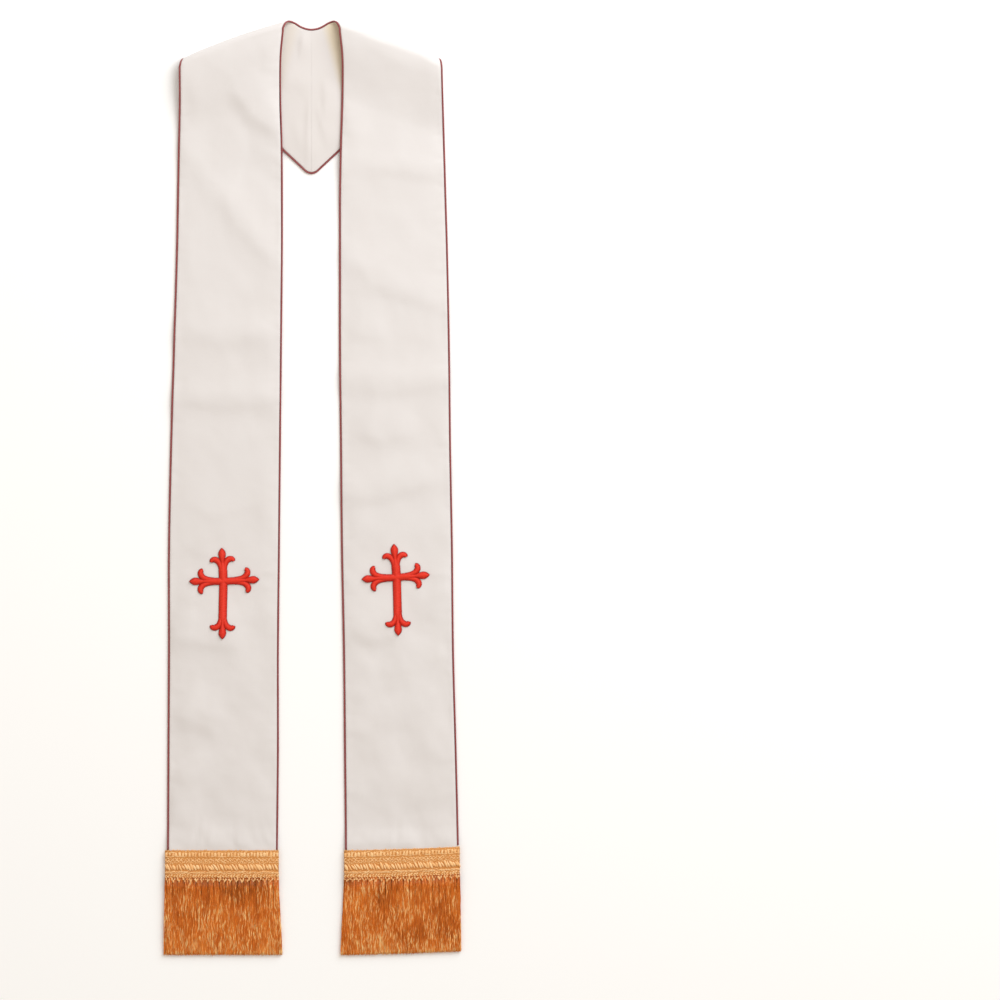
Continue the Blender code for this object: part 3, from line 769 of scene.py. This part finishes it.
# how far a layer's face stands from its plain form, towards the outer cloth's side
def reliefAt(side, kind, row, point, fromInner, fromOuter):
    zone, value = row
    if zone == "front" and kind == "outer":
        plan = Vector((abs(point.x), peak - point.y))
        return frontRelief(side, plan, fromInner, fromOuter)
    sizes = liningSizes
    down = peak - point.y
    nearest = min(fromInner, fromOuter)
    roll = swell["roll"] * bell(nearest / swell["rollRun"])
    if kind == "outer" and zone == "fold":
        return (1 - smooth(value)) * swell["rise"] * smooth(nearest / swell["run"]) - roll
    if kind == "outer":
        share, most = shownCreases["yoke"]
        return -max(roll, min(share * creasesAt(creases["yoke"], -point.x, down), most))
    if zone == "yoke":
        inNeck = 1 - smooth((abs(point.x) - sizes["neckEnd"]) / sizes["neckRun"])
        lift = inNeck * creasesAt(creases["yoke"], point.x, down)
        lift += sizes["swell"] * smooth(nearest / sizes["swellRun"])
        seam = sizes["seam"] * bell(point.x / sizes["seamWide"])
        return -max(lift - roll - seam, -sizes["most"])
    if zone == "front":
        share, most = shownCreases["front"]
        return sizes["liftOnFront"] + min(share * creasesAt(creases[side], point.x, down), most)
    return 0.0


# painted warm shadow on the lining beside the neck, much stronger on the right: from a line that leans
# outwards up to an end, and down to a fade
neckShadowSizes = {
    "side": {"left": 0.3, "right": 1.0},
    "start": 9 * mm, "lean": 0.27, "soft": 15 * mm, "end": 40 * mm, "down": (75 * mm, 115 * mm),
}


def paintNeckShadow(obj, side):
    tones = []
    for v in obj.data.vertices:
        down = peak - v.co.y
        reach = smooth((abs(v.co.x) - neckShadowSizes["start"] - neckShadowSizes["lean"] * down) / neckShadowSizes["soft"])
        first, last = neckShadowSizes["down"]
        reach *= 1 - smooth((abs(v.co.x) - neckShadowSizes["end"]) / neckShadowSizes["soft"])
        tones.append(neckShadowSizes["side"][side] * reach * (1 - smooth((down - first) / (last - first))))
    obj.data.attributes.new("neckShadow", "FLOAT", "POINT").data.foreach_set("value", tones)


clothPieces = {}
for side in sides:
    clothPieces["outer", side] = clothPiece(side, f"OuterCloth_{side}", "outer", ivoryCloth)
    clothPieces["lining", side] = clothPiece(side, f"Lining_{side}", "lining", ivoryLining)
    paintNeckShadow(clothPieces["lining", side], side)
    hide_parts(f"outer_cloth_{side}")
    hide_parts(f"lining_{side}")
print("cloth laid")


pipingSizes = {
    "around": 10, "rows": (3.2 * mm, 17, 60), "braidCover": 0.4 * mm,
    "uneven": 0.05, "waves": 6, "waveLong": (12, 60), "phase": (0, 6.3),
    "upright": 0.05,  # less sideways than this, the strip has no side to turn to
}


def pipingPiece(side, name, edge):
    draw = random.Random(name)
    waves = []
    for _ in range(pipingSizes["waves"]):
        phase, long = draw.uniform(*pipingSizes["phase"]), draw.uniform(*pipingSizes["waveLong"]) * mm
        waves.append((phase, long, draw.uniform(-1, 1)))
    rows = rowsOf(*pipingSizes["rows"])
    radius = cut["pipingWide"] / 2
    centres = []
    for k, row in enumerate(rows):
        end = braidTop + cut["hemTilt"][side] * edge - pipingSizes["braidCover"]
        if middleAt(side, row, edge).y < end:
            continue
        inset = insetShare(side, rows, k, edge, radius)
        centre = middleAt(side, row, inset if edge == 0 else 1 - inset)
        centres.append(centre + Vector((0, 0, radius - cut["halfThick"])))
    points, uvs, run = [], [], 0.0
    for k, centre in enumerate(centres):
        run += (centre - centres[k - 1]).length if k else 0.0
        before, after = neighbours(centres, k)
        along = (after - before).normalized()
        sideways = along.cross(Vector((0, 0, 1)))
        sideways = sideways.normalized() if sideways.length > pipingSizes["upright"] else Vector((1, 0, 0))
        upwards = sideways.cross(along).normalized()
        sway = sum(high * sin(run / long + phase) for phase, long, high in waves)
        wide = radius * (1 + pipingSizes["uneven"] * (sway / 2 - 0.5))
        turns = turnsAround(pipingSizes["around"])
        points.append([centre + (sideways * cos(t) + upwards * sin(t)) * wide for t in turns])
        uvs.append([(radius / mm * t, run / mm) for t in turns])
    return pieceFrom(gridPiece(points, uvs, closeRound=True), name, redPiping)


for side in sides:
    for word, edge in (("neck", 0), ("outer", 1)):
        piece = pipingPiece(side, f"Piping_{word}_{side}", edge)
        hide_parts(f"piping_{word}_{side}")
print("piping sewn")

# crosses, each of satin-stitched bands
crossSizes = {
    # the crossing's place, then turn in degrees and length to the tip of the upper, left, lower and right arm
    "left": {"x": -118.7, "down": 755.3, "arms": ((3.0, 45.3), (90.0, 46.4), (178.8, 78.2), (273.0, 48.4))},
    "right": {"x": 115.1, "down": 750.0, "arms": ((5.0, 45.3), (93.0, 47.4), (181.6, 78.7), (274.6, 44.6))},
    "stemHalf": (5.9, 4.9, 5.7, 4.9),  # near each arm's end
    "crossingHalf": (5.9, 4.9),  # of the upright and of the bar where they cross
    "stemEnds": ((30, 1.0), (24, 0.75), (17, 0.42), (9, 0.1)),  # back from the tip, share of the width left
    "stemRows": (36, 6, 3),  # of full width: from here back, so far apart, up to this short of the crossing
    "around": 16, "steps": 4,
    "float": 0.15,  # clear of the cloth
    "padded": 3.9,  # how high the widest band stands
    "thinnest": 0.3, "foot": 0.2, "under": -0.2, "crown": 1.6,  # shares of that, and how full the section is
    "leafBase": 0.4, "curlBase": (0.1, 0.0), "stemBase": (0.0, 0.5),  # above what lies below
}
# an arm's end in satin stitch: out from the arm's middle, back from its tip, half width, in mm
leafBand = (
    (0, 29, 0.8), (0, 25, 1.6), (0, 21, 2.4), (0, 17.5, 3.2), (0, 14, 4.2),
    (0, 10.5, 4.95), (0, 7.5, 5.1), (0, 4.8, 4.3), (0, 2.2, 2.6), (0, 0, 0.4),
)
curlBand = (
    (2.7, 33, 2.6), (2.8, 28, 3.0), (3.4, 23.4, 3.5), (5.2, 19.0, 3.9),
    (8.6, 16.0, 4.2), (12.0, 15.6, 4.0), (14.2, 16.9, 3.4), (15.0, 18.9, 2.3),
)


# a smooth run of rows through the given ones
def spread(rows, steps):
    out = []
    for k in range(len(rows) - 1):
        p = [Vector(rows[min(max(k + i, 0), len(rows) - 1)]) for i in (-1, 0, 1, 2)]
        for s in (i / steps for i in range(steps)):
            a = -0.5 * s + s**2 - 0.5 * s**3
            b = 1 - 2.5 * s**2 + 1.5 * s**3
            c = 0.5 * s + 2 * s**2 - 1.5 * s**3
            d = -0.5 * s**2 + 0.5 * s**3
            out.append(p[0] * a + p[1] * b + p[2] * c + p[3] * d)
    return out + [Vector(rows[-1])]


# a padded band along (x, y, half width) rows in the cross's own plane, in mm, lifted by its base
def satinBand(rows, base):
    sizes = crossSizes
    rows = spread(rows, sizes["steps"])
    points, uvs, run = [], [], 0.0
    for k, row in enumerate(rows):
        run += (row.xy - rows[k - 1].xy).length if k else 0.0
        before, after = neighbours(rows, k)
        along = (after.xy - before.xy).normalized()
        across = Vector((along.y, -along.x))
        tall = sizes["padded"] * min(1.0, lerp(sizes["thinnest"], 1, row.z / sizes["stemHalf"][0]))
        ring, uvRing = [], []
        for turn in turnsAround(sizes["around"]):
            out = cos(turn) * row.z
            up = (1 - abs(cos(turn)) ** sizes["crown"]) * (1.0 if turn < pi else sizes["under"])
            ring.append(Vector((*(row.xy + across * out), base + tall * lerp(sizes["foot"], 1, up))))
            uvRing.append((out, run))
        points.append(ring)
        uvs.append(uvRing)
    return points, uvs


# every band of a cross as rings of points about its crossing
def crossBands(look):
    sizes, bands, stems = crossSizes, [], []
    curls = zip((-1, 1), (curlBand, curlBand), sizes["curlBase"])
    ends = (*curls, (1, leafBand, sizes["leafBase"]))
    start, apart, short = sizes["stemRows"]
    for (turn, tip), half in zip(look["arms"], sizes["stemHalf"]):
        spun = Matrix.Rotation(radians(turn), 3, "Z")
        for hand, band, base in ends:
            rings, uvs = satinBand([(hand * out, tip - back, w) for out, back, w in band], base)
            bands.append(([[spun @ p for p in ring] for ring in rings], uvs))
        up = spun @ Vector((0, 1, 0))
        even = tuple((back, 1.0) for back in reversed(range(start, int(tip) - short, apart)))
        shares = even + sizes["stemEnds"]
        stems.append([(*(up * (tip - back)).xy, half * share) for back, share in shares])
    # the upright first, and the bar stitched over it
    for first, half, base in zip((0, 1), sizes["crossingHalf"], sizes["stemBase"]):
        rows = stems[first][::-1] + [(0, 0, half)] + stems[first + 2]
        bands.append(satinBand(rows, base))
    return bands


def crossPiece(side):
    look = crossSizes[side]
    whole = bmesh.new()
    centre = Vector((look["x"], peak / mm - look["down"], crossSizes["float"])) * mm
    for rings, uvs in crossBands(look):
        placed = []
        for ring in rings:
            placed.append([p * mm + centre for p in ring])
            for p in placed[-1]:
                p.z += clothTop(side, p.x, p.y)
        mesh = meshFrom(gridPiece(placed, uvs, closeRound=True), "band")
        whole.from_mesh(mesh)
        bpy.data.meshes.remove(mesh)
    return pieceFrom(whole, f"Cross_{side}", redThread)


for side in sides:
    crossPiece(side)
    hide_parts(f"cross_{side}")
print("crosses embroidered")


stitchShape = {"blunt": 0.04, "plump": 0.55, "map": (2.2, 5)}


# a short plump stitch from (-0.5, 0, 0) to (0.5, 0, 0), one unit wide and tall
def stitchTemplate(along, around):
    points, uvs = [], []
    blunt, (mapAround, mapAlong) = stitchShape["blunt"], stitchShape["map"]
    for s in (k / along for k in range(along + 1)):
        wide = 0.5 * sin(pi * min(max(s, blunt), 1 - blunt)) ** stitchShape["plump"]
        ring = turnsAround(around)
        points.append([Vector((s - 0.5, wide * cos(t), wide * sin(t))) for t in ring])
        uvs.append([(mapAround * j / around, mapAlong * s) for j in range(around + 1)])
    return meshFrom(gridPiece(points, uvs, closeRound=True), "stitch")


# rows of stitches down the braid, in mm and degrees
braidRows = (
    # down, pitch, long, wide, tall, slant, lift
    (0.8, 2.2, 2.4, 1.5, 1.2, 70, 0.0), (2.2, 3.0, 3.4, 1.2, 1.1, 3, 0.2),
    (3.9, 4.4, 4.6, 1.6, 1.3, 4, 0.6), (6.2, 4.4, 5.8, 3.7, 1.7, 86, 0.5),
    (8.5, 4.4, 4.6, 1.5, 1.3, -4, 0.6), (10.0, 3.1, 3.6, 1.2, 1.0, -3, 0.2),
    (12.4, 2.7, 3.6, 1.5, 1.4, 42, 0.5), (14.7, 2.7, 3.6, 1.5, 1.4, -38, 0.6),
    (16.8, 2.8, 3.4, 1.4, 1.2, 24, 0.4), (18.7, 3.0, 3.4, 1.3, 1.1, 0, 0.3),
    (22.9, 7.9, 9.0, 3.9, 2.3, -60, 0.7), (23.4, 7.9, 8.2, 3.1, 2.0, -62, 0.9),
    (27.3, 3.0, 3.3, 1.2, 1.0, 0, 0.2), (29.8, 3.4, 4.4, 1.8, 1.6, 7, 0.8),
    (31.2, 3.4, 4.4, 1.4, 1.3, -7, 0.7), (34.2, 3.7, 4.0, 2.0, 1.5, 40, 0.8),
    (36.8, 3.7, 4.0, 2.0, 1.5, -40, 0.8), (38.6, 2.7, 3.2, 1.5, 1.2, 0, 0.9),
)
braidUneven = {"turn": 15.0, "place": 0.7, "size": 0.24}
braidFlat = {"front": 1.0, "back": 0.5}
pressed = 0.62  # how much of its height a stitch keeps over the band
zigzagRows = (6, 7, 8)  # every second stitch slants the other way
pairedRow = 11  # the second strand of each slanting cord lies half a pitch from the first
scallops = {
    "pitch": 7.8, "apart": 0.26,
    "sides": (39.4, 4.4, 3.3, 1.9, 62, 0.9), "foot": (41.6, 4.2, 2.6, 1.9, 84, 0.9),
}
stitches = {"front": stitchTemplate(6, 7), "back": stitchTemplate(4, 6)}  # plainer where it lies on the floor


def braidPiece(side, face):
    near, far = cut["trimSpan"][side]
    low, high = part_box(f"braid_{face}_{side}")
    upwards, base = (1, low.z) if face == "front" else (-1, high.z)
    flat, stitch = braidFlat[face], stitches[face]
    draw = random.Random(f"braid {face} {side}")
    places = []

    def lay(out, down, long, wide, tall, slant, lift):
        tall, lift = tall * flat, lift * flat
        reach = max(long * abs(cos(radians(slant))), wide) * mm / 2
        x = sides[side] * min(max(out, near + reach), far - reach)
        uneven = braidUneven["size"]
        grow = [size * mm * draw.uniform(1 - uneven, 1 + uneven) for size in (long, wide, tall)]
        spin = Matrix.Rotation(radians(slant + draw.gauss(0, 0.5) * braidUneven["turn"]), 4, "Z")
        down += draw.gauss(0, 0.5) * braidUneven["place"]
        y = braidTop + hemLift(side, x) - down * mm
        z = base + upwards * (lift + tall / 2) * pressed * mm
        places.append(Matrix.Translation((x, y, z)) @ spin @ Matrix.Diagonal((*grow, 1)))

    def steps(pitch):
        count = round((far - near) / (pitch * mm))
        return [near + (k + 0.5) * (far - near) / count for k in range(count)]

    for row, (down, pitch, long, wide, tall, slant, lift) in enumerate(braidRows):
        shift = pitch / 2 if row == pairedRow else 0.0
        for k, out in enumerate(steps(pitch)):
            out += (shift + draw.gauss(0, 0.5) * braidUneven["place"]) * mm
            lay(out, down, long, wide, tall, -slant if row in zigzagRows and k % 2 else slant, lift)
    for out in steps(scallops["pitch"]):
        down, long, wide, tall, slant, lift = scallops["sides"]
        for hand in (-1, 1):
            place = out + hand * scallops["apart"] * scallops["pitch"] * mm
            lay(place, down, long, wide, tall, hand * sides[side] * slant, lift)
        lay(out, *scallops["foot"])
    tints = np.repeat([draw.random() for _ in places], len(stitch.vertices))
    return pieceOf(repeated(stitch, places, {"tint": tints}), f"Braid_{face}_{side}", goldCord)


groundSizes = {
    "thick": {"front": 0.9 * mm, "back": -0.4 * mm}, "short": 0.6 * mm, "deep": 39 * mm, "below": 0.5 * mm,
    "cuts": 12,
}


# the woven band that carries the stitches
def braidGround(side, face):
    near, far = cut["trimSpan"][side]
    low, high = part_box(f"braid_{face}_{side}")
    z = low.z if face == "front" else high.z
    wide = far - near - groundSizes["short"]
    top = braidTop - groundSizes["below"]
    bm = bmesh.new()
    bmesh.ops.create_cube(bm, size=1)
    bmesh.ops.subdivide_edges(bm, edges=bm.edges, cuts=groundSizes["cuts"], use_grid_fill=True)
    uvLayer = bm.loops.layers.uv.new("cut")
    for v in bm.verts:
        x = sides[side] * ((near + far) / 2 + v.co.x * wide)
        y = top + hemLift(side, x) + (v.co.y - 0.5) * groundSizes["deep"]
        v.co = (x, y, z + (v.co.z + 0.5) * groundSizes["thick"][face])
    for f in bm.faces:
        for loop in f.loops:
            loop[uvLayer].uv = loop.vert.co.xy / mm
    bmesh.ops.recalc_face_normals(bm, faces=bm.faces)
    return pieceFrom(bm, f"BraidGround_{face}_{side}", goldGround)


for side in sides:
    for face in ("front", "back"):
        braidPiece(side, face)
        braidGround(side, face)
        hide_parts(f"braid_{face}_{side}")
print("braid plaited")

fringeSizes = {
    # strands, then the lowest and highest of them at the heading, at the hem's height and at the tips, in mm
    "front": {"strands": 4300, "root": (4.5, 6.1), "middle": (2.0, 4.8), "tip": (1.5, 3.8)},
    "back": {"strands": 1000, "root": (0.3, 1.6), "middle": (0.3, 1.9), "tip": (0.3, 1.8)},
    "rootDown": 37.0 * mm, "middleDown": 62.0 * mm, "tipDown": 140.4 * mm,  # below the braid's top
    "radius": (0.22, 0.36), "rings": 8, "flare": (3.6 * mm, 0.6 * mm), "uneven": 0.8 * mm,
    "wave": (0.3, 1.5), "waveLong": (8, 24), "waveStart": 1 / 5,  # of the fall, over which the waves set in
    "drift": 2.8 * mm, "lockPitch": 8.0 * mm, "gather": 0.26,
    "lastRing": 0.985, "taper": (0.25, 4), "bob": (0.3 * mm, 1.3), "lowest": 0.05 * mm,
}


# a closed three-sided thread of so many rings, ring k at Y = k
def strandTemplate(rings):
    points = [[Vector((cos(t), k, sin(t))) for t in turnsAround(3)] for k in range(rings)]
    return meshFrom(gridPiece(points, None, closeRound=True), "strand")


# strands that fall from the heading, each with its own waves, gathered at the top into the braid's loops
def fringePiece(side, face):
    sizes, look = fringeSizes, fringeSizes[face]
    near, far = cut["trimSpan"][side]
    rng = np.random.default_rng(sum(map(ord, side + face)))
    n, rings = look["strands"], sizes["rings"]
    t = np.append(np.linspace(0, 1, rings - 1)[:-1], (sizes["lastRing"], 1.0))[None, :]
    root = near + (far - near) * rng.random(n)
    layer = rng.random(n)
    lock = near + (np.floor((root - near) / sizes["lockPitch"]) + 0.5) * sizes["lockPitch"]
    rootOut = root + sizes["gather"] * layer * (np.minimum(lock, far) - root)
    share = (root - near) / (far - near)
    flare = sizes["flare"][1] * share - sizes["flare"][0] * (1 - share) ** 2
    tipOut = np.clip(root + rng.normal(0, 1, n) * sizes["drift"], near, far) + flare
    long = sizes["tipDown"] - sizes["rootDown"] + rng.normal(0, 1, n) * sizes["uneven"]
    fall = long[:, None] * t
    out = rootOut[:, None] + (tipOut - rootOut)[:, None] * t * t * (3 - 2 * t)
    phase = rng.uniform(0, 2 * pi, (2, n, 1))
    waveLong = rng.uniform(*sizes["waveLong"], (2, n, 1)) * mm
    waveHigh = rng.uniform(*sizes["wave"], (2, n, 1)) * mm * np.minimum(t / sizes["waveStart"], 1) / 2
    for k in (0, 1):
        out = out + waveHigh[k] * np.sin(fall / waveLong[k] + phase[k])
    y = braidTop + hemLift(side, out) - sizes["rootDown"] - fall
    heights = [lerp(*look[key], layer[:, None]) for key in ("root", "middle", "tip")]
    reach = (sizes["middleDown"] - sizes["rootDown"]) / (sizes["tipDown"] - sizes["rootDown"])
    drop = np.clip(t / reach, 0, 1)
    late = np.clip((t - reach) / (1 - reach), 0, 1)
    z = heights[0] + (heights[1] - heights[0]) * drop**2 * (3 - 2 * drop) + (heights[2] - heights[1]) * late
    bob, quicker = sizes["bob"]
    z = z * mm + bob * np.sin(fall / waveLong[0] * quicker + phase[1])
    taper, power = sizes["taper"]
    radius = rng.uniform(*sizes["radius"], n)[:, None] * mm * (1 - taper * t**power)
    template = strandTemplate(rings)
    shape = np.empty(len(template.vertices) * 3)
    template.vertices.foreach_get("co", shape)
    shape = shape.reshape(-1, 3)
    ring = np.rint(shape[:, 1]).astype(int)
    turned = np.arctan2(shape[:, 2], shape[:, 0])[None, :] + rng.uniform(0, 2 * pi, n)[:, None]
    points = np.empty((n, len(shape), 3))
    points[..., 0] = sides[side] * (out[:, ring] + np.cos(turned) * radius[:, ring])
    points[..., 1] = y[:, ring]
    points[..., 2] = np.maximum(z[:, ring] + np.sin(turned) * radius[:, ring], sizes["lowest"])
    tint = np.repeat(rng.random(n), len(shape))
    depth = np.repeat(layer, len(shape))
    along = np.tile(ring / (rings - 1), n)
    mesh = joinCopies(template, points.reshape(-1, 3), n, {"tint": tint, "along": along, "depth": depth})
    if side == "left":
        mesh.flip_normals()
    return pieceOf(mesh, f"Fringe_{face}_{side}", goldFringe)


for side in sides:
    for face in ("front", "back"):
        piece = fringePiece(side, face)
        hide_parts(f"fringe_{face}_{side}")
print("fringe hung")

studio = {
    "floor": (0.975, 0.98, 1.0, 1),
    "floorHalf": 8,
    "floorDown": 0.2 * mm,
    "world": ((1.0, 0.905, 0.785, 1), 0.61),
    # name: place, aimed at, size, watts, colour
    "key": ((1.75, 2.3, 2.1), (0.0, 0.1, 0.0), 3.0, 125, (0.935, 0.98, 1.0)),
    "fill": ((-2.2, -1.2, 2.6), (0.0, 0.0, 0.0), 2.4, 12, (1.0, 0.98, 0.95)),
}
cameraSizes = {"x": 0.2545, "y": -0.0155, "frame": 1.35, "lens": 360.0, "sensor": 36.0}

bm = bmesh.new()
bmesh.ops.create_grid(bm, x_segments=2, y_segments=2, size=studio["floorHalf"])
bmesh.ops.translate(bm, vec=(0, 0, -studio["floorDown"]), verts=bm.verts)
floorMesh = meshFrom(bm, "floor")
floor = objectOf("floor", floorMesh)
paper = Nodes("pale_paper")
paper.set(Base_Color=studio["floor"], Roughness=0.9, Specular_IOR_Level=0.1)
floorMesh.materials.append(paper.material)

world = bpy.data.worlds.new("studio")
world.use_nodes = True
background = world.node_tree.nodes["Background"].inputs
background["Color"].default_value, background["Strength"].default_value = studio["world"]
scene.world = world
for name in ("key", "fill"):
    place, aim, size, watts, colour = studio[name]
    lamp = bpy.data.lights.new(name, "AREA")
    lamp.size = size
    lamp.energy = watts
    lamp.color = colour
    lampObject = objectOf(name, lamp)
    lampObject.location = place
    lampObject.rotation_euler = (Vector(aim) - Vector(place)).to_track_quat("-Z", "Y").to_euler()
    lampObject.visible_camera = False

cameraData = bpy.data.cameras.new("camera")
cameraData.lens = cameraSizes["lens"]
cameraData.sensor_width = cameraSizes["sensor"]
camera = objectOf("camera", cameraData)
high = cameraSizes["frame"] * cameraSizes["lens"] / cameraSizes["sensor"]
camera.location = (cameraSizes["x"], cameraSizes["y"], high)
scene.camera = camera
scene.view_settings.view_transform = "Standard"
print("stage set")
